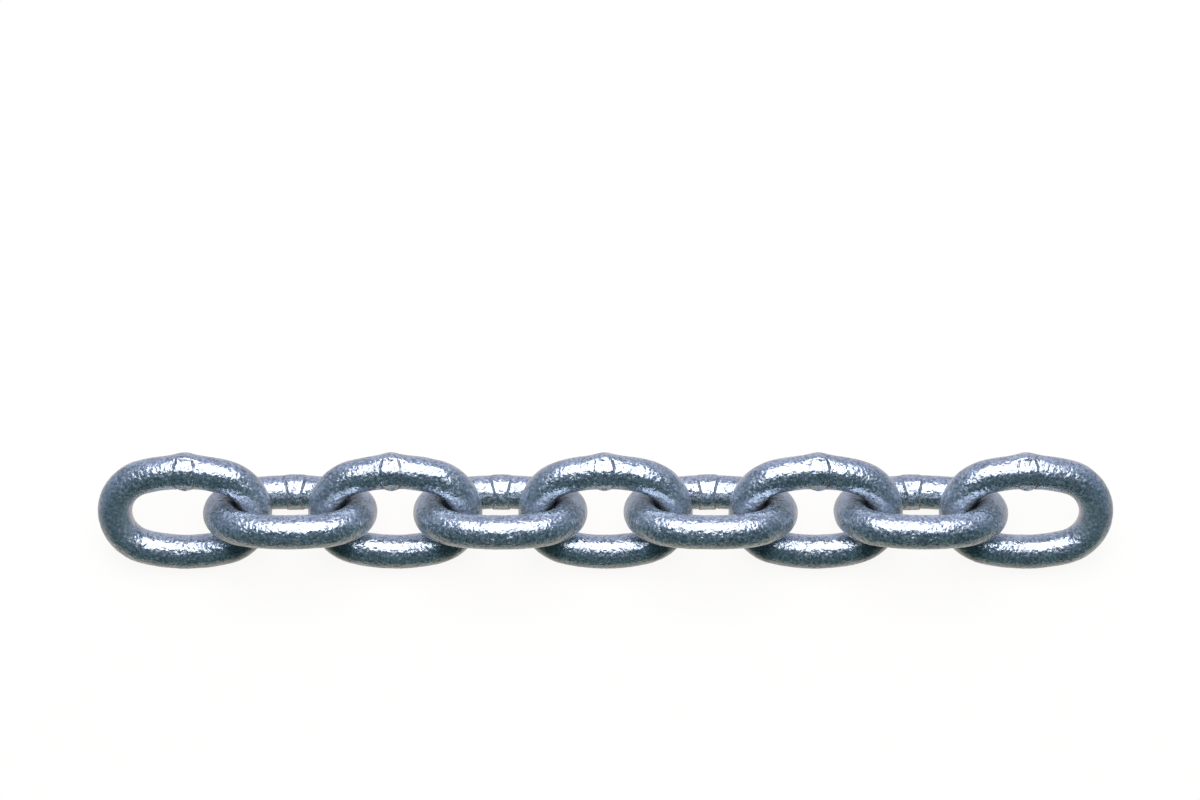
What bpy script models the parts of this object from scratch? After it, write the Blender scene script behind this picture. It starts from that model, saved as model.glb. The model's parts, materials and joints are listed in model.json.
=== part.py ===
"""One foot of welded steel chain: nine links, each hanging in the next, laid straight on a floor.

Metres, +Z up, +X along the chain. The origin is on the floor under the middle of the chain.
Each link is a bent bar, closed by a flash weld in the middle of one side. The links lie rolled
over about 45 degrees, one way and the other by turns: odd ones rest on their plain side and even
ones on the weld's collar. The middle link carries four hinged links to each side.
"""

import math

import bmesh
import bpy
from mathutils import Matrix, Vector

# Driving sizes of a link
WIRE = 0.0102
INSIDE_LENGTH = 0.0318
INSIDE_WIDTH = 0.0159
END_RADIUS = 0.01185  # of the bar's centreline round a crown; the sides bow out a little between

# Driving sizes of the weld's collar, which stands out most on the outside of the bend
COLLAR_OUTER = 0.0010
COLLAR_INNER = 0.0006
COLLAR_FLANK = 0.0003
COLLAR_PROFILE = ((-0.0044, 0.0), (-0.0026, 0.62), (0.0, 1.0), (0.0026, 0.62), (0.0044, 0.0))

# Driving sizes of the run
WELD_SHIFTS = (0.0004, 0.0008, -0.0010, 0.0, -0.0004, -0.0007, 0.0006, -0.0020, -0.0003)
CONTACT_GAP = 0.0003  # left between two links where one hangs in the other
PLAIN_SIDE_ROLL = math.radians(45)

# Facets
SECTION_SIDES = 12
CROWN_STEPS = 12
SIDE_STATIONS = (-0.0084, 0.0084)
PLAIN_SIDE_STATIONS = (-0.0084, -0.0030, 0.0030, 0.0084)

# Worked out from the sizes above
LINK_COUNT = len(WELD_SHIFTS)
MIDDLE = LINK_COUNT // 2
CROWN = (INSIDE_LENGTH + WIRE) / 2  # from a link's centre to the bar's centreline at its crown
HALF_WIDTH = (INSIDE_WIDTH + WIRE) / 2
PITCH = INSIDE_LENGTH - CONTACT_GAP
HINGE_REACH = PITCH - CROWN  # from a link's centre back to the crown that it swings on
END_CENTRE = CROWN - END_RADIUS
SIDE_BOW = HALF_WIDTH - END_RADIUS
SIDE_CENTRE = (END_CENTRE**2 - SIDE_BOW**2) / (2 * SIDE_BOW)
SIDE_RADIUS = HALF_WIDTH + SIDE_CENTRE
JOIN_ANGLE = math.atan2(END_CENTRE, SIDE_CENTRE)  # where a side's arc meets a crown's


def clear_scene():
    for item in list(bpy.data.objects):
        bpy.data.objects.remove(item, do_unlink=True)


def galvanised_steel():
    material = bpy.data.materials.new("galvanised_steel")
    material.use_nodes = True
    shader = material.node_tree.nodes["Principled BSDF"]
    shader.inputs["Base Color"].default_value = (0.60, 0.63, 0.69, 1.0)
    shader.inputs["Metallic"].default_value = 1.0
    shader.inputs["Roughness"].default_value = 0.36
    return material


def centreline(heading):
    """The bar's centreline where it faces out at this angle from +Y, turning towards +X."""
    across, along = math.cos(heading), math.sin(heading)
    if abs(across) >= math.cos(JOIN_ANGLE):
        side = math.copysign(SIDE_CENTRE, across)
        return Vector((SIDE_RADIUS * along, SIDE_RADIUS * across - side, 0))
    end = math.copysign(END_CENTRE, along)
    return Vector((end + END_RADIUS * along, END_RADIUS * across, 0))


def collar_height(round_bar):
    """The collar's full height at this angle round the bar; 0 faces out of the link."""
    facing = math.cos(round_bar)
    peak = COLLAR_OUTER if facing > 0 else COLLAR_INNER
    return COLLAR_FLANK + (peak - COLLAR_FLANK) * facing**4


def stations(weld_shift):
    """Each section's heading and its share of the collar's height, once round the link."""
    crown_turn = math.pi - 2 * JOIN_ANGLE
    crown_headings = [JOIN_ANGLE + crown_turn * i / CROWN_STEPS for i in range(CROWN_STEPS + 1)]
    weld_side = [(s / SIDE_RADIUS, 0.0) for s in SIDE_STATIONS]
    weld_side += [((weld_shift + s) / SIDE_RADIUS, share) for s, share in COLLAR_PROFILE]
    right_crown = [(heading, 0.0) for heading in crown_headings]
    plain_side = [(math.pi + s / SIDE_RADIUS, 0.0) for s in PLAIN_SIDE_STATIONS]
    left_crown = [(math.pi + heading, 0.0) for heading in crown_headings]
    return sorted(weld_side) + right_crown + plain_side + left_crown


def section(bm, heading, share, centre_x):
    """One ring of vertices round the bar."""
    middle = centreline(heading) + Vector((centre_x, 0, 0))
    outwards = Vector((math.sin(heading), math.cos(heading), 0))
    upwards = Vector((0, 0, 1))
    ring = []
    for i in range(SECTION_SIDES):
        turn = math.tau * i / SECTION_SIDES
        radius = WIRE / 2 + share * collar_height(turn)
        offset = outwards * radius * math.cos(turn) + upwards * radius * math.sin(turn)
        ring.append(bm.verts.new(middle + offset))
    return ring


def link_mesh(name, weld_shift, centre_x):
    """A link lying flat, weld side towards +Y, with its centre at centre_x on the X axis."""
    bm = bmesh.new()
    rings = [section(bm, heading, share, centre_x) for heading, share in stations(weld_shift)]
    for here, ahead in zip(rings, rings[1:] + rings[:1]):
        for i in range(SECTION_SIDES):
            j = (i + 1) % SECTION_SIDES
            bm.faces.new((here[i], here[j], ahead[j], ahead[i]))
    bmesh.ops.recalc_face_normals(bm, faces=bm.faces)
    mesh = bpy.data.meshes.new(name)
    bm.to_mesh(mesh)
    bm.free()
    mesh.shade_smooth()
    return mesh


def depth(mesh, roll):
    """How far a link that is rolled about X reaches below its own centre."""
    turn = Matrix.Rotation(roll, 3, "X")
    return -min((turn @ vertex.co).z for vertex in mesh.vertices)


def collar_side_roll(mesh, wanted_depth):
    """The roll that sets the collar down as deep as its neighbours' plain sides reach."""
    shallow, steep = 0.0, -PLAIN_SIDE_ROLL
    for _ in range(40):
        middle = (shallow + steep) / 2
        if depth(mesh, middle) < wanted_depth:
            shallow = middle
        else:
            steep = middle
    return (shallow + steep) / 2


def add_object(name, data, location, roll, parent=None):
    item = bpy.data.objects.new(name, data)
    bpy.context.scene.collection.objects.link(item)
    item.location = location
    item.rotation_euler = (roll, 0, 0)
    bpy.context.view_layer.update()
    if parent is not None:
        item.parent = parent
        item.matrix_parent_inverse = parent.matrix_world.inverted()
    return item


def add_link(index, material, parent=None):
    """A link with its origin on the crown that it swings on; the middle link's is its centre."""
    side = (index > MIDDLE) - (index < MIDDLE)
    name = f"link_{index + 1}"
    mesh = link_mesh(name, WELD_SHIFTS[index], side * HINGE_REACH)
    mesh.materials.append(material)
    roll = PLAIN_SIDE_ROLL
    if index % 2:
        roll = collar_side_roll(mesh, depth(mesh, PLAIN_SIDE_ROLL))
    hinge_x = (index - MIDDLE) * PITCH - side * HINGE_REACH
    return add_object(name, mesh, (hinge_x, 0, 0), roll, parent)


def add_branch(middle_link, material, side):
    """The links from the middle to one end, each on a hinge at the crown of the one before.

    A hinge turns about its own Y axis, which runs along the bar at that crown.
    """
    parent = middle_link
    for step in range(1, MIDDLE + 1):
        index = MIDDLE + side * step
        hinge_x = (index - side - MIDDLE) * PITCH + side * CROWN
        axis_roll = parent.matrix_world.to_euler().x
        hinge = add_object(f"hinge_{index + 1}", None, (hinge_x, 0, 0), axis_roll, parent)
        parent = add_link(index, material, hinge)


def stand_on_origin(middle_link):
    """Moves the whole run so that the origin is under its middle, on the floor."""
    bpy.context.view_layer.update()
    corners = [
        item.matrix_world @ vertex.co
        for item in bpy.data.objects
        if item.type == "MESH"
        for vertex in item.data.vertices
    ]
    low = Vector(min(corner[i] for corner in corners) for i in range(3))
    high = Vector(max(corner[i] for corner in corners) for i in range(3))
    middle_link.location -= Vector(((low.x + high.x) / 2, (low.y + high.y) / 2, low.z))


def main():
    clear_scene()
    material = galvanised_steel()
    middle_link = add_link(MIDDLE, material)
    add_branch(middle_link, material, 1)
    add_branch(middle_link, material, -1)
    stand_on_origin(middle_link)


main()
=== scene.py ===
"""The looks of one foot of zinc-coated welded chain, laid straight on a pale studio floor."""

import json
import math

import bmesh
import bpy
import numpy as np
from mathutils import Matrix, Vector, noise


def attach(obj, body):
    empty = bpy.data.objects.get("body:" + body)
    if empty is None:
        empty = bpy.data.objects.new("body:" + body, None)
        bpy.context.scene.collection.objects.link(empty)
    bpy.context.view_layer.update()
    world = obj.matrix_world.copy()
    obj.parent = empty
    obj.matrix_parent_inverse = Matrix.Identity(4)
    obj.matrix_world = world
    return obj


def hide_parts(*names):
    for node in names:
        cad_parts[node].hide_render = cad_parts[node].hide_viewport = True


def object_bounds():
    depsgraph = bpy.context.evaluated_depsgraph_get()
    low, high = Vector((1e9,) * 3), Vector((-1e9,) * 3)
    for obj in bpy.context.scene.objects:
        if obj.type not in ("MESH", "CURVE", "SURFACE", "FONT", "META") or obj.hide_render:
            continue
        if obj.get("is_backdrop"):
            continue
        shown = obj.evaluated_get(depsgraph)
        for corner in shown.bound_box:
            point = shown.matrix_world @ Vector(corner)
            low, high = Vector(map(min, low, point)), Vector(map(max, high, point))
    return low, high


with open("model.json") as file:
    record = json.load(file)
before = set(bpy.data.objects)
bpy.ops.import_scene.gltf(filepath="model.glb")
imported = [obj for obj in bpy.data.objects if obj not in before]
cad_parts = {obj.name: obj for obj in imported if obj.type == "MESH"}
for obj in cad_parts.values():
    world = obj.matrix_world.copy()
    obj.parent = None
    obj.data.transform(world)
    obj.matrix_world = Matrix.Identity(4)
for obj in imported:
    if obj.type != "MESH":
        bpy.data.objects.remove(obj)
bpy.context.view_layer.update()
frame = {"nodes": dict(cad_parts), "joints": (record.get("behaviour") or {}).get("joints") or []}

# Driving sizes of a link, in metres
MM = 0.001
BAR_RADIUS = 5.1 * MM
EYE_LENGTH = 31.8 * MM
EYE_WIDTH = 15.9 * MM
END_RADIUS = 11.85 * MM  # of the bar's centreline round a crown
CROWN = EYE_LENGTH / 2 + BAR_RADIUS
HALF_WIDTH = EYE_WIDTH / 2 + BAR_RADIUS

# The sides of a link bow out on a long arc that meets the crowns' arcs
END_CENTRE = CROWN - END_RADIUS
SIDE_BOW = HALF_WIDTH - END_RADIUS
SIDE_CENTRE = (END_CENTRE**2 - SIDE_BOW**2) / (2 * SIDE_BOW)
SIDE_RADIUS = HALF_WIDTH + SIDE_CENTRE
JOIN_ANGLE = math.atan2(END_CENTRE, SIDE_CENTRE)
ROUNDING = 1e-9  # allowed where a heading is tested against the join

# How finely a link is meshed, finest round its weld
SIDE_STEP = 0.27 * MM
WELD_STEP = 0.15 * MM
WELD_REACH = 5.5 * MM
ROUND_STEPS = 120
FAR_FROM_WELD = 1.0  # stands for the distance from the weld on the link's other side

# Where each link's weld sits along its bar, from the middle
WELD_SHIFTS = {
    "link_1": 0.4 * MM,
    "link_2": 0.8 * MM,
    "link_3": -1.0 * MM,
    "link_4": 0.0,
    "link_5": -0.4 * MM,
    "link_6": -0.7 * MM,
    "link_7": 0.6 * MM,
    "link_8": -2.0 * MM,
    "link_9": -0.3 * MM,
}

# How deep each weld's left and right creases are, of the deepest
CREASES = {
    "link_1": (0.7, 0.6),
    "link_2": (0.5, 0.9),
    "link_3": (0.8, 0.7),
    "link_4": (0.9, 0.6),
    "link_5": (0.1, 1.0),
    "link_6": (0.8, 0.8),
    "link_7": (0.2, 1.0),
    "link_8": (0.7, 0.8),
    "link_9": (0.4, 0.9),
}

# The weld is a hump on the outer and inner faces, and between them a band trimmed to flats.
# Here and below, angles go round the bar from its outer face, in degrees. A start is where a
# form is half as high, and a slope is how far it goes on rising before and after that.
HUMP_OUTER = 0.8 * MM
HUMP_OUTER_LENGTH = 2.9 * MM
HUMP_OUTER_ARC = (-35, 28)
HUMP_OUTER_SLOPE = 7
HUMP_LIP = 0.3  # how much higher the hump stands where it ends over the band
HUMP_LIP_START = 5
HUMP_INNER = 0.6 * MM
HUMP_INNER_LENGTH = 2.0 * MM
HUMP_INNER_START = 150
HUMP_INNER_SLOPE = 8

# The band: its flats, each with its rise above the bar, and half its length at some angles
BAND_RISE = 0.26 * MM
FLATS = ((45, 0.07 * MM), (90, 0.1 * MM), (139, -0.08 * MM))
FLAT_REACH = 50  # past this angle from its middle, a flat's plane rises no further
BAND_HALF = (
    (25, 2.1 * MM),
    (60, 2.95 * MM),
    (110, 2.95 * MM),
    (155, 2.15 * MM),
    (165, 2.45 * MM),
)
BAND_EDGE = 0.25 * MM
SOFT_EDGE = 6  # on the side of the bar the edge is up to 1 + 6 times as soft
SOFT_EDGE_MIDDLE = 78
SOFT_EDGE_SPREAD = 20
BAND_LOSS = 0.6  # the share of its height that the band loses under the inner hump
BAND_LOSS_START = 152
BAND_LOSS_SLOPE = 8

# The creases along the band's edges, with the share of their depth at some angles
CREASE_DEPTH = 0.45 * MM
CREASE_WIDTH = 0.25 * MM
CREASE_SHARES = (
    (20, 0),
    (28, 1),
    (48, 0.9),
    (62, 0.25),
    (95, 0.2),
    (112, 0.7),
    (145, 0.8),
    (155, 1),
    (168, 0.2),
)
CREASE_EVENING = 0.5  # how far the shallow creases catch up with the deep ones, inside the eye
CREASE_EVENING_START = 105
CREASE_EVENING_SLOPE = 10

# Two plain raised pads on the outer face opposite the weld
PAD_OFFSET = 2.9 * MM
PAD_HALF_LENGTH = 1.7 * MM
PAD_HALF_HEIGHT = 1.0 * MM
PAD_RISE = 0.17 * MM
PAD_EDGE = 0.2 * MM

# The hammered skin of the zinc
GRAIN_SIZE = 0.85 * MM
GRAIN_HEIGHT = 0.05 * MM
GRAIN_LAYERS = 3
GRAIN_SCALING = 2.1  # how much finer each layer of the grain is than the one before
GRAIN_WEAKENING = 0.8  # how fast the finer layers weaken; 1 is as fast as they get finer
DENT_SIZE = 4.5 * MM
DENT_HEIGHT = 0.1 * MM

# The crowns: calmer and duller where the bar is bent, rubbed on the inside. A start is where the
# look is half as strong. On the crowns it is the size of the heading's sine, 1 at a crown's tip,
# and for the inside it is minus the cosine of the angle round the bar, 1 on the inner face.
BEND_START = 0.75
BEND_SLOPE = 0.25
RUB_START = 0.8
RUB_SLOPE = 0.15
RUB_INSIDE_START = 0.35
RUB_INSIDE_SLOPE = 0.35

# Painted shade on the bars that lie on the floor, where the next link passes over them and
# shades them
PAINTED_SHADE_START = 13.0 * MM  # from the link's middle
PAINTED_SHADE_EDGE = 2.2 * MM
PLAIN_BAR_START = 0.3  # minus the heading's cosine, 1 in the middle of the plain bar
PLAIN_BAR_SLOPE = 0.2
OUTER_FACE_END = 45  # degrees from the outer face, which has no such painted shade
OUTER_FACE_SLOPE = 25

# Painted shade in the narrow gap round the place where one link hangs in another, where that
# link shades it
NOOK_GAP = 1.3 * MM
NOOK_EDGE = 0.7 * MM
ROUTE_POINTS = 120  # on a neighbour's centreline, to measure that gap from

# The zinc's colours
BRIGHT_ZINC = (0.64, 0.72, 0.81)
DULL_ZINC = (0.46, 0.52, 0.59)
PIT_GREY = (0.17, 0.19, 0.21)
FLECK_ZINC = (0.86, 0.88, 0.88)
RUBBED_ZINC = (0.74, 0.77, 0.81)
# dirt and painted shade: darkens the weld's creases
SEAM_DIRT_AND_SHADE = (0.07, 0.066, 0.06)
# painted shade: a near-black teal laid where a neighbouring link shades the bar
PAINTED_SHADE_COLOUR = (0.03, 0.05, 0.045)

# How much of each shows at most
PIT_SHARE = 0.6
FLECK_SHARE = 0.5
RUB_SHARE = 0.6
# the painted shade's strength at most
PAINTED_SHADE_SHARE = 0.65
SEAM_SHARE = 0.9

# The zinc's pattern. The skin's rise is in grain heights, and the noises go from 0 to 1.
ZINC_METALLIC = 0.86
HOLLOWS_TO_HIGH_SPOTS = (-0.9, 0.7)
HIGH_SPOT_SHINE = 0.6
PATCH_SIZE = 5 * MM
PATCH_DETAIL = 3.0
PATCH_SHINE = 0.8
SHINE_LOSS = 0.2
SPECKLE_SIZE = 0.8 * MM
SPECKLE_DETAIL = 1.0
PIT_SPECKLE = (0.32, 0.48)
FLECK_SPECKLE = (0.52, 0.68)
RIPPLE_SIZE = 1.3 * MM
RIPPLE_DETAIL = 1.0
RIPPLE_HEIGHT = 0.23 * MM
SPECKLE_RIPPLE = 0.4  # how much the speckle adds to the ripple
CROWN_CALM = 0.3  # how much weaker speckle and ripple are on the crowns

# The zinc's roughness, and what takes from it or adds to it
ZINC_ROUGHNESS = 0.25
SHINE_GLOSS = 0.06
FLECK_ROUGHNESS = 0.25
BEND_ROUGHNESS = 0.1
CREASE_ROUGHNESS = 0.3

# The photograph's framing, in its own 1200 x 800 pixels
PHOTO_WIDTH = 1200
PHOTO_HEIGHT = 800
CHAIN_MIDDLE_PX = (605.5, 512.0)
PX_PER_METRE = 3336.5
SIGHT_ELEVATION = math.radians(68.8)
LENS = 120.0
SENSOR = 36.0

# The softbox, in metres and watts
SOFTBOX_PLACE = Vector((0.0, 0.187, 0.880))
SOFTBOX_TARGET = Vector((0.0, 0.0, 0.0))
SOFTBOX_SIZE = (0.74, 0.94)
SOFTBOX_POWER = 6.3
SOFTBOX_COLOUR = (1.0, 0.98, 1.03)

# The studio round the chain, with its colours from the front (0) to the back (1)
WALLS = (
    (0.12, (0.010, 0.060, 0.065)),
    (0.25, (0.030, 0.100, 0.120)),
    (0.5, (0.12, 0.18, 0.24)),
    (0.8, (0.22, 0.28, 0.37)),
    (1.0, (0.46, 0.50, 0.67)),
)
CEILING = (0.30, 0.38, 0.60)
CEILING_SHARE = 0.25  # how much of it shows straight above, less and less further down
GROUND = (
    (0.0, (0.49, 0.44, 0.35)),
    (0.2, (0.60, 0.54, 0.45)),
    (0.5, (0.56, 0.51, 0.46)),
    (0.8, (0.77, 0.70, 0.65)),
)
GROUND_START = -0.33  # height of the direction where the walls turn into the ground, in front
GROUND_DEPTH = -1 - GROUND_START  # from there to straight down
GROUND_LIFT = 0.22  # by how much the ground starts higher at the sides and the back
GROUND_LIFT_END = 0.25  # where on the way from front to back that lift is complete

# The light table, which the metal doesn't mirror: in the photograph it mirrors a darker studio
TABLE_LOW = Vector((-3.0, -3.0))
TABLE_HIGH = Vector((3.0, 3.0))
TABLE_THICKNESS = 0.012
TABLE_BEVEL = 0.001
TABLE_ROUGHNESS = 0.85
TABLE_GLOW = 0.92
TABLE_GLOW_COLOUR = (1.0, 0.99, 0.975, 1.0)
TABLE_COLOUR = (0.10, 0.098, 0.095, 1.0)


def arc(start, end, radius, step):
    """Headings from start up to, and without, end, spaced about step apart on an arc."""
    count = math.ceil((end - start) * radius / step)
    return np.linspace(start, end, count, endpoint=False)


def headings(weld_shift):
    """The way the bar's centreline faces at each station along the bar."""
    far_join = math.pi - JOIN_ANGLE
    weld_start = (weld_shift - WELD_REACH) / SIDE_RADIUS
    weld_end = (weld_shift + WELD_REACH) / SIDE_RADIUS
    crown = arc(JOIN_ANGLE, far_join, END_RADIUS, SIDE_STEP)
    return np.concatenate([
        arc(-JOIN_ANGLE, weld_start, SIDE_RADIUS, SIDE_STEP),
        arc(weld_start, weld_end, SIDE_RADIUS, WELD_STEP),
        arc(weld_end, JOIN_ANGLE, SIDE_RADIUS, SIDE_STEP),
        crown,
        arc(far_join, math.pi + JOIN_ANGLE, SIDE_RADIUS, SIDE_STEP),
        math.pi + crown,
    ])


def centreline(heading):
    """Places on the bar's centreline, along and across the link."""
    across, along = np.cos(heading), np.sin(heading)
    on_side = np.abs(across) >= math.cos(JOIN_ANGLE) - ROUNDING
    side_x = SIDE_RADIUS * along
    side_y = SIDE_RADIUS * across - np.sign(across) * SIDE_CENTRE
    end_x = np.sign(along) * END_CENTRE + END_RADIUS * along
    end_y = END_RADIUS * across
    return np.where(on_side, side_x, end_x), np.where(on_side, side_y, end_y)


def soft_step(value, edge):
    """0 below -edge and 1 above edge, with a smooth slope between."""
    share = np.clip(value / (2 * edge) + 0.5, 0, 1)
    return share * share * (3 - 2 * share)


def bell(value, width):
    """1 at 0, falling off smoothly to both sides."""
    return np.exp(-((value / width) ** 2))


def hump_rise(along, degrees):
    """The weld's two humps, on the outer and the inner face of the bar."""
    turn = np.abs(degrees)
    first, last = HUMP_OUTER_ARC
    to_end = (last - first) / 2 - np.abs(degrees - (first + last) / 2)
    outer = soft_step(to_end, HUMP_OUTER_SLOPE)
    inner = soft_step(turn - HUMP_INNER_START, HUMP_INNER_SLOPE)
    towards_lip = np.clip((turn - HUMP_LIP_START) / (last - HUMP_LIP_START), 0, 1)
    lip = 1 + HUMP_LIP * towards_lip * (degrees > 0)
    hump = HUMP_OUTER * outer * lip * bell(along, HUMP_OUTER_LENGTH)
    return hump + HUMP_INNER * inner * bell(along, HUMP_INNER_LENGTH)


def band_rise(along, turn, half):
    """The weld's trimmed band, half long to each side of the weld's middle."""
    band = np.full(turn.shape, BAND_RISE)
    for flat, flat_rise in FLATS:
        slant = np.cos(np.radians(np.clip(turn - flat, -FLAT_REACH, FLAT_REACH)))
        band = np.minimum(band, (BAR_RADIUS + flat_rise) / slant - BAR_RADIUS)
    on_side = bell(turn - SOFT_EDGE_MIDDLE, SOFT_EDGE_SPREAD)
    inside = soft_step(half - np.abs(along), BAND_EDGE * (1 + SOFT_EDGE * on_side))
    inside = inside * (1 - BAND_LOSS * soft_step(turn - BAND_LOSS_START, BAND_LOSS_SLOPE))
    return inside * band


def crease_share(along, turn, half, creases):
    """How deep in one of the band's creases a place is, of the deepest."""
    beyond = np.abs(along) - half - BAND_EDGE / 2
    deepest = np.where(along < 0, *creases)
    evening = soft_step(turn - CREASE_EVENING_START, CREASE_EVENING_SLOPE)
    deepest = deepest + (1 - deepest) * CREASE_EVENING * evening
    return deepest * np.interp(turn, *zip(*CREASE_SHARES)) * bell(beyond, CREASE_WIDTH)


def weld_relief(along, round_bar, creases):
    """The weld's rise above the bar, and how deep in a crease a place is.

    creases are the depths of the ones to the left and to the right of the band.
    """
    degrees = np.degrees(round_bar)
    turn = np.abs(degrees)
    half = np.interp(turn, *zip(*BAND_HALF))
    crease = crease_share(along, turn, half, creases)
    rise = np.maximum(hump_rise(along, degrees), band_rise(along, turn, half))
    return rise - CREASE_DEPTH * crease, crease


def pad_relief(along, round_bar):
    """Two raised lozenges on the middle of the outer face."""
    rise = np.zeros(np.broadcast(along, round_bar).shape)
    for centre in (-PAD_OFFSET, PAD_OFFSET):
        reach = np.abs(along - centre) / PAD_HALF_LENGTH
        reach = reach + np.abs(round_bar * BAR_RADIUS) / PAD_HALF_HEIGHT
        rise += soft_step((1 - reach) * PAD_HALF_HEIGHT, PAD_EDGE)
    return PAD_RISE * rise


def grain_relief(points):
    """The zinc's fine hammered grain over broader dents, for each point."""
    rise = np.empty(len(points))
    for i, point in enumerate(points):
        place = Vector(point)
        grain = noise.fractal(place / GRAIN_SIZE, GRAIN_WEAKENING, GRAIN_SCALING, GRAIN_LAYERS)
        dent = noise.noise(place / DENT_SIZE)
        rise[i] = grain * GRAIN_HEIGHT + dent * DENT_HEIGHT
    return rise


def grid_faces(stations, steps):
    """Quads of a closed tube: stations rings of steps points each."""
    ring, spot = np.meshgrid(np.arange(stations), np.arange(steps), indexing="ij")
    ahead, beside = (ring + 1) % stations, (spot + 1) % steps
    corners = [
        ring * steps + spot,
        ahead * steps + spot,
        ahead * steps + beside,
        ring * steps + beside,
    ]
    return np.stack([c.ravel() for c in corners], axis=1)


def link_axes(node):
    """A link's centre, and the directions across it (towards its weld) and square to it."""
    points = np.array([v.co for v in frame["nodes"][node].data.vertices])
    low, high = points.min(0), points.max(0)
    centre = np.array([(low[0] + high[0]) / 2, *frame["joints"][0]["pos_m"][1:]])
    spread = np.cov((points[:, 1:] - centre[1:]).T)
    across = np.linalg.eigh(spread)[1][:, 1]
    across = np.array([0.0, *(across * np.sign(across[0]))])
    return centre, across, np.cross([1.0, 0.0, 0.0], across)


def bar_places(axes, heading, round_bar, radius):
    """Points that lie radius from a link's centreline, by heading and angle round the bar."""
    centre, across, square = axes
    x, y = centreline(heading)
    facing = np.cos(round_bar)
    along = x + np.sin(heading) * radius * facing
    wide = y + np.cos(heading) * radius * facing
    thick = np.broadcast_to(radius * np.sin(round_bar), along.shape)
    places = along[..., None] * np.array([1.0, 0, 0])
    places = places + wide[..., None] * across + thick[..., None] * square
    return (centre + places).reshape(-1, 3)


def gap_to(points, node):
    """How far each point is from the plain bar of another link."""
    centre, across, _ = link_axes(node)
    nearest = np.full(len(points), np.inf)
    for x, y in zip(*centreline(np.linspace(0, math.tau, ROUTE_POINTS, endpoint=False))):
        middle = centre + x * np.array([1.0, 0, 0]) + y * across
        nearest = np.minimum(nearest, np.linalg.norm(points - middle, axis=1))
    return nearest - BAR_RADIUS


def rub_share(heading, round_bar):
    """How rubbed a place is: most on the inside of the crowns."""
    on_crown = soft_step(np.abs(np.sin(heading)) - RUB_START, RUB_SLOPE)
    return on_crown * soft_step(-np.cos(round_bar) - RUB_INSIDE_START, RUB_INSIDE_SLOPE)


def painted_shade_share(points, heading, round_bar, covered, neighbours):
    """How much painted shade a place gets: most in the nooks, and where a covered end faces up
    or down.
    """
    x, _ = centreline(heading)
    on_bar = soft_step(-np.cos(heading) - PLAIN_BAR_START, PLAIN_BAR_SLOPE)
    off_outer_face = np.abs(np.degrees(round_bar)) - OUTER_FACE_END
    on_bar = on_bar * soft_step(off_outer_face, OUTER_FACE_SLOPE)
    painted_shade = np.zeros(on_bar.shape)
    # painted shade under the ends of the plain bar that the next link passes over
    for end in covered:
        painted_shade += soft_step(end * x - PAINTED_SHADE_START, PAINTED_SHADE_EDGE) * on_bar
    # painted shade in the narrow gap to the links that this one hangs in
    for neighbour in neighbours:
        gap = gap_to(points, neighbour).reshape(painted_shade.shape)
        painted_shade = np.maximum(painted_shade, 1 - soft_step(gap - NOOK_GAP, NOOK_EDGE))
    return painted_shade


def link_piece(node, covered, neighbours):
    """One link, swept along its bar with its weld, pads and zinc skin, in the frame's place.

    covered lists the ends, -1 or 1, of its plain bar that the next link passes over, and
    neighbours the links that it hangs in.
    """
    axes = link_axes(node)
    heading = headings(WELD_SHIFTS[node])[:, None]
    round_bar = np.linspace(-math.pi, math.pi, ROUND_STEPS, endpoint=False)[None, :]
    from_weld = SIDE_RADIUS * heading - WELD_SHIFTS[node]
    from_weld = np.where(heading < math.pi / 2, from_weld, FAR_FROM_WELD)
    rise, crease = weld_relief(from_weld, round_bar, CREASES[node])
    rise = rise + pad_relief(SIDE_RADIUS * (heading - math.pi), round_bar)
    plain_bar = bar_places(axes, heading, round_bar, np.full(rise.shape, BAR_RADIUS))
    skin = grain_relief(plain_bar).reshape(rise.shape)
    points = bar_places(axes, heading, round_bar, BAR_RADIUS + rise + skin)

    mesh = bpy.data.meshes.new(node + "_zinc")
    mesh.from_pydata(points.tolist(), [], grid_faces(len(heading), ROUND_STEPS).tolist())
    mesh.shade_smooth()
    looks = {
        "skin": skin / GRAIN_HEIGHT,
        "crease": crease,
        "rub": rub_share(heading, round_bar),
        "bend": soft_step(np.abs(np.sin(heading)) - BEND_START, BEND_SLOPE),
        # painted shade where neighbouring links shade this one
        "painted_shade": painted_shade_share(points, heading, round_bar, covered, neighbours),
    }
    for name, values in looks.items():
        layer = mesh.attributes.new(name, "FLOAT", "POINT")
        values = np.broadcast_to(values, rise.shape).astype(np.float32)
        layer.data.foreach_set("value", values.ravel())
    piece = bpy.data.objects.new(node + "_zinc", mesh)
    bpy.context.scene.collection.objects.link(piece)
    return piece


class Number:
    """A number inside a material: arithmetic on it adds Math nodes."""

    def __init__(self, finish, socket):
        self.finish = finish
        self.socket = socket

    def __add__(self, other):
        return self.finish.maths("ADD", self, other)

    def __sub__(self, other):
        return self.finish.maths("SUBTRACT", self, other)

    def __rsub__(self, other):
        return self.finish.maths("SUBTRACT", other, self)

    def __mul__(self, other):
        return self.finish.maths("MULTIPLY", self, other)


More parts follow.
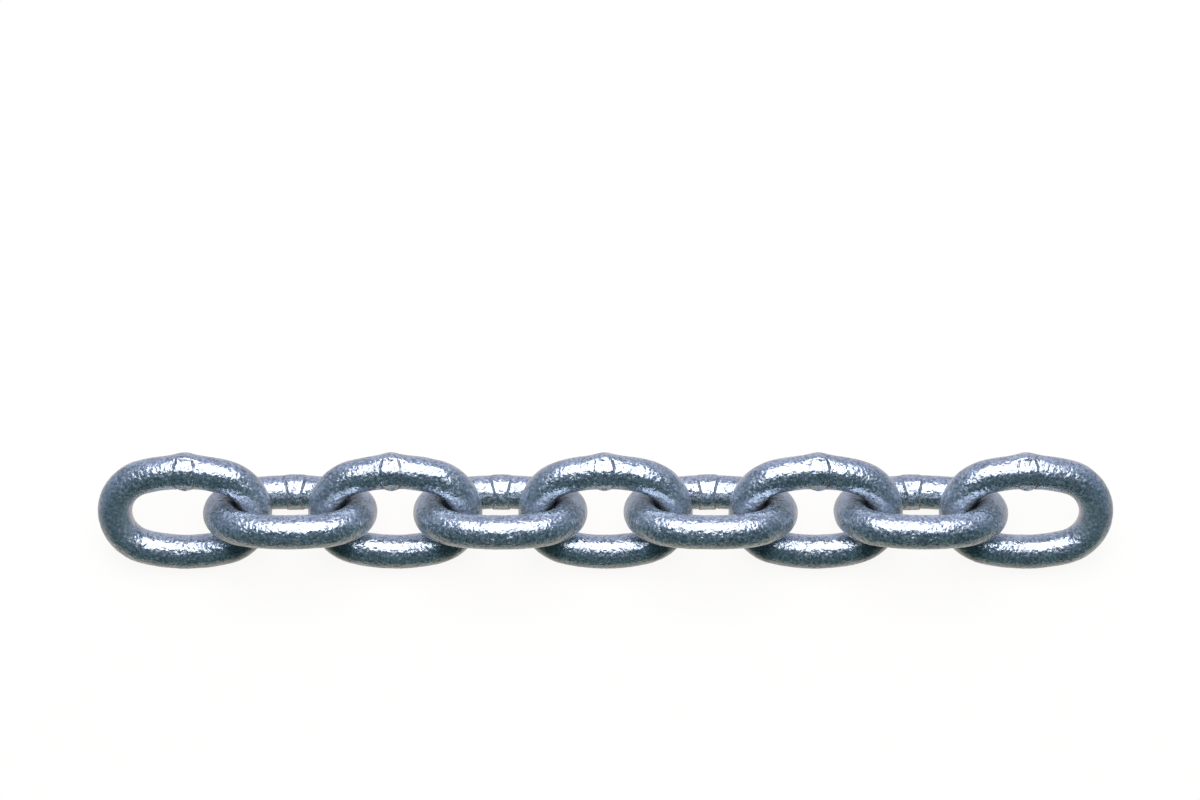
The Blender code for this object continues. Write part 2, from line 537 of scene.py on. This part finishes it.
class Nodes:
    """The nodes of a material or of the surroundings, under construction."""

    def node(self, kind, settings, values):
        """Adds a node: its settings first, then what feeds its input sockets."""
        made = self.tree.nodes.new(kind)
        for name, value in settings.items():
            setattr(made, name, value)
        for name, value in values.items():
            self.feed(made.inputs[name], value)
        return made

    def feed(self, socket, value):
        if isinstance(value, Number):
            self.tree.links.new(value.socket, socket)
        elif isinstance(value, bpy.types.NodeSocket):
            self.tree.links.new(value, socket)
        else:
            socket.default_value = value

    def maths(self, operation, first, second):
        made = self.node("ShaderNodeMath", {"operation": operation}, {0: first, 1: second})
        return Number(self, made.outputs[0])

    def vector_maths(self, operation, *vectors):
        sockets = dict(enumerate(vectors))
        made = self.node("ShaderNodeVectorMath", {"operation": operation}, sockets)
        return made.outputs["Vector"]

    def clamped(self, value):
        made = self.node("ShaderNodeClamp", {}, {"Value": value})
        return Number(self, made.outputs[0])

    def smooth(self, value, low, high):
        """0 where value is below low, 1 above high, with a smooth slope between."""
        sockets = {"Value": value, "From Min": low, "From Max": high}
        made = self.node("ShaderNodeMapRange", {"interpolation_type": "SMOOTHSTEP"}, sockets)
        return Number(self, made.outputs[0])

    def part_of(self, vector, axis):
        made = self.node("ShaderNodeSeparateXYZ", {}, {0: vector})
        return Number(self, made.outputs[axis])

    def ramp(self, share, stops):
        """A colour that goes through the stops as share grows."""
        made = self.node("ShaderNodeValToRGB", {}, {"Fac": share})
        elements = made.color_ramp.elements
        for position, _ in stops[2:]:
            elements.new(position)
        for element, (position, colour) in zip(elements, stops):
            element.position = position
            element.color = (*colour, 1.0)
        return made.outputs["Color"]

    def blend(self, share, first, second):
        """A colour that goes from first to second as share goes from 0 to 1."""
        made = self.node("ShaderNodeMix", {"data_type": "RGBA"}, {"Factor": share})
        colours = [s for s in made.inputs if s.type == "RGBA"]
        for socket, colour in zip(colours, (first, second)):
            self.feed(socket, (*colour, 1.0) if isinstance(colour, tuple) else colour)
        return next(s for s in made.outputs if s.type == "RGBA")


class Finish(Nodes):
    """A material with one Principled shader."""

    def __init__(self, name, **constants):
        self.material = bpy.data.materials.new(name)
        self.material.use_nodes = True
        self.tree = self.material.node_tree
        self.shader = self.tree.nodes["Principled BSDF"]
        for socket, value in constants.items():
            self.shader.inputs[socket.replace("_", " ")].default_value = value

    def set(self, socket, value):
        self.feed(self.shader.inputs[socket], value)

    def noise(self, size, detail):
        """Noise by the surface's own place, in metres, as it lies at rest."""
        place = self.node("ShaderNodeTexCoord", {}, {}).outputs["Object"]
        sockets = {"Vector": place, "Scale": 1 / size, "Detail": detail}
        return Number(self, self.node("ShaderNodeTexNoise", {}, sockets).outputs["Fac"])

    def attribute(self, name):
        made = self.node("ShaderNodeAttribute", {"attribute_name": name}, {})
        return Number(self, made.outputs["Fac"])

    def bump(self, height, distance):
        made = self.node("ShaderNodeBump", {}, {"Height": height, "Distance": distance})
        self.set("Normal", made.outputs["Normal"])


class Surroundings(Nodes):
    """The studio round the chain, which lights it and which its metal mirrors."""

    def __init__(self):
        self.world = bpy.data.worlds.new("studio")
        self.world.use_nodes = True
        self.tree = self.world.node_tree
        self.shader = self.tree.nodes["Background"]


def zinc_finish():
    """Bright zinc with dull hollows, pits and flecks and rubbed crowns, painted shade in the
    nooks and under covered bar ends, and dirt and painted shade in the creases.
    """
    finish = Finish("zinc", Metallic=ZINC_METALLIC)
    high_spots = finish.smooth(finish.attribute("skin"), *HOLLOWS_TO_HIGH_SPOTS)
    patches = finish.noise(PATCH_SIZE, PATCH_DETAIL)
    speckle = finish.noise(SPECKLE_SIZE, SPECKLE_DETAIL)
    ripple = finish.noise(RIPPLE_SIZE, RIPPLE_DETAIL)
    crease = finish.attribute("crease")
    rub = finish.attribute("rub")
    bend = finish.attribute("bend")
    painted_shade = finish.attribute("painted_shade")
    shine = finish.clamped(high_spots * HIGH_SPOT_SHINE + patches * PATCH_SHINE - SHINE_LOSS)
    calm = 1 - bend * CROWN_CALM
    pits = (1 - finish.smooth(speckle, *PIT_SPECKLE)) * calm
    flecks = finish.smooth(speckle, *FLECK_SPECKLE) * calm

    colour = finish.blend(shine, DULL_ZINC, BRIGHT_ZINC)
    layers = (
        (pits * PIT_SHARE, PIT_GREY),
        (flecks * FLECK_SHARE, FLECK_ZINC),
        (rub * RUB_SHARE, RUBBED_ZINC),
        # painted shade from the neighbouring links, laid into the colour
        (painted_shade * PAINTED_SHADE_SHARE, PAINTED_SHADE_COLOUR),
        # dirt and painted shade in the weld's creases
        (crease * SEAM_SHARE, SEAM_DIRT_AND_SHADE),
    )
    for share, layer in layers:
        colour = finish.blend(share, colour, layer)
    finish.set("Base Color", colour)

    roughness = ZINC_ROUGHNESS - shine * SHINE_GLOSS + flecks * FLECK_ROUGHNESS
    roughness = roughness + bend * BEND_ROUGHNESS + crease * CREASE_ROUGHNESS
    finish.set("Roughness", roughness)
    finish.bump((ripple + speckle * SPECKLE_RIPPLE) * calm, RIPPLE_HEIGHT)
    return finish.material


def table_finish():
    """Pale matt acrylic, lit from beneath so that shadows on it stay faint."""
    finish = Finish("light_table", Roughness=TABLE_ROUGHNESS, Emission_Strength=TABLE_GLOW)
    finish.set("Emission Color", TABLE_GLOW_COLOUR)
    finish.set("Base Color", TABLE_COLOUR)
    return finish.material


def add_table(height):
    """A light table with its top at this height."""
    size = TABLE_HIGH - TABLE_LOW
    middle = (TABLE_HIGH + TABLE_LOW) / 2
    place = Matrix.Translation((*middle, height - TABLE_THICKNESS / 2))
    place = place @ Matrix.Diagonal((*size, TABLE_THICKNESS, 1))
    bm = bmesh.new()
    bmesh.ops.create_cube(bm, size=1, matrix=place)
    edges = bm.edges[:]
    bmesh.ops.bevel(bm, geom=edges, offset=TABLE_BEVEL, segments=2, affect="EDGES", profile=0.5)
    mesh = bpy.data.meshes.new("light_table")
    bm.to_mesh(mesh)
    bm.free()
    mesh.materials.append(table_finish())
    table = bpy.data.objects.new("light_table", mesh)
    table.visible_glossy = False
    bpy.context.scene.collection.objects.link(table)
    table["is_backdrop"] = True


def add_softbox():
    """One large softbox, overhead and a little behind the chain."""
    lamp = bpy.data.lights.new("overhead", "AREA")
    lamp.shape = "RECTANGLE"
    lamp.size, lamp.size_y = SOFTBOX_SIZE
    lamp.energy = SOFTBOX_POWER
    lamp.color = SOFTBOX_COLOUR
    holder = bpy.data.objects.new("overhead", lamp)
    bpy.context.scene.collection.objects.link(holder)
    holder.location = SOFTBOX_PLACE
    holder.rotation_mode = "QUATERNION"
    holder.rotation_quaternion = (SOFTBOX_TARGET - SOFTBOX_PLACE).to_track_quat("-Z", "Y")


def add_surroundings():
    """Studio walls, dark teal in front and pale lilac at the back, over a warm grey ground."""
    studio = Surroundings()
    direction = studio.node("ShaderNodeTexCoord", {}, {}).outputs["Generated"]
    height = studio.part_of(direction, "Z")
    level = studio.vector_maths("MULTIPLY", direction, (1, 1, 0))
    compass = studio.vector_maths("NORMALIZE", level)
    towards_back = studio.part_of(compass, "Y") * 0.5 + 0.5
    lifted = height - studio.clamped(towards_back * (1 / GROUND_LIFT_END)) * GROUND_LIFT
    down = studio.clamped((lifted - GROUND_START) * (1 / GROUND_DEPTH))
    walls = studio.ramp(towards_back, WALLS)
    above = studio.clamped(height)
    walls = studio.blend(above * above * CEILING_SHARE, walls, CEILING)
    ground = studio.ramp(towards_back, GROUND)
    studio.feed(studio.shader.inputs["Color"], studio.blend(down, walls, ground))
    bpy.context.scene.world = studio.world


def add_camera(chain_middle):
    """Sights the chain's middle at its pixel of the photograph, from the photograph's angle."""
    distance = PHOTO_WIDTH / PX_PER_METRE * LENS / SENSOR
    right = (CHAIN_MIDDLE_PX[0] - PHOTO_WIDTH / 2) / PX_PER_METRE
    below = (CHAIN_MIDDLE_PX[1] - PHOTO_HEIGHT / 2) / PX_PER_METRE
    elevation = SIGHT_ELEVATION - math.atan2(below, distance)
    back = Vector((0, -math.cos(elevation), math.sin(elevation)))
    up = Vector((0, math.sin(elevation), math.cos(elevation)))
    target = Vector(chain_middle) + up * below - Vector((right, 0, 0))
    camera = bpy.data.objects.new("camera", bpy.data.cameras.new("camera"))
    camera.data.lens = LENS
    camera.data.sensor_width = SENSOR
    bpy.context.scene.collection.objects.link(camera)
    axes = Matrix((Vector((1, 0, 0)), up, back)).transposed()
    camera.matrix_world = Matrix.Translation(target + back * distance) @ axes.to_4x4()
    bpy.context.scene.camera = camera


def add_links():
    """The nine links; the first, third and so on lie on their plain bars, under the others."""
    zinc = zinc_finish()
    nodes = sorted(frame["nodes"])
    for place, node in enumerate(nodes):
        ends = [end for end in (-1, 1) if 0 <= place + end < len(nodes)]
        covered = ends if place % 2 == 0 else []
        piece = link_piece(node, covered, [nodes[place + end] for end in ends])
        piece.data.materials.append(zinc)
        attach(piece, node)
        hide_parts(node)


def main():
    add_links()
    chain_axis = frame["joints"][0]["pos_m"]
    add_table(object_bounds()[0].z)
    add_softbox()
    add_surroundings()
    add_camera((0.0, chain_axis[1], chain_axis[2]))
    bpy.context.scene.view_settings.view_transform = "Standard"


main()
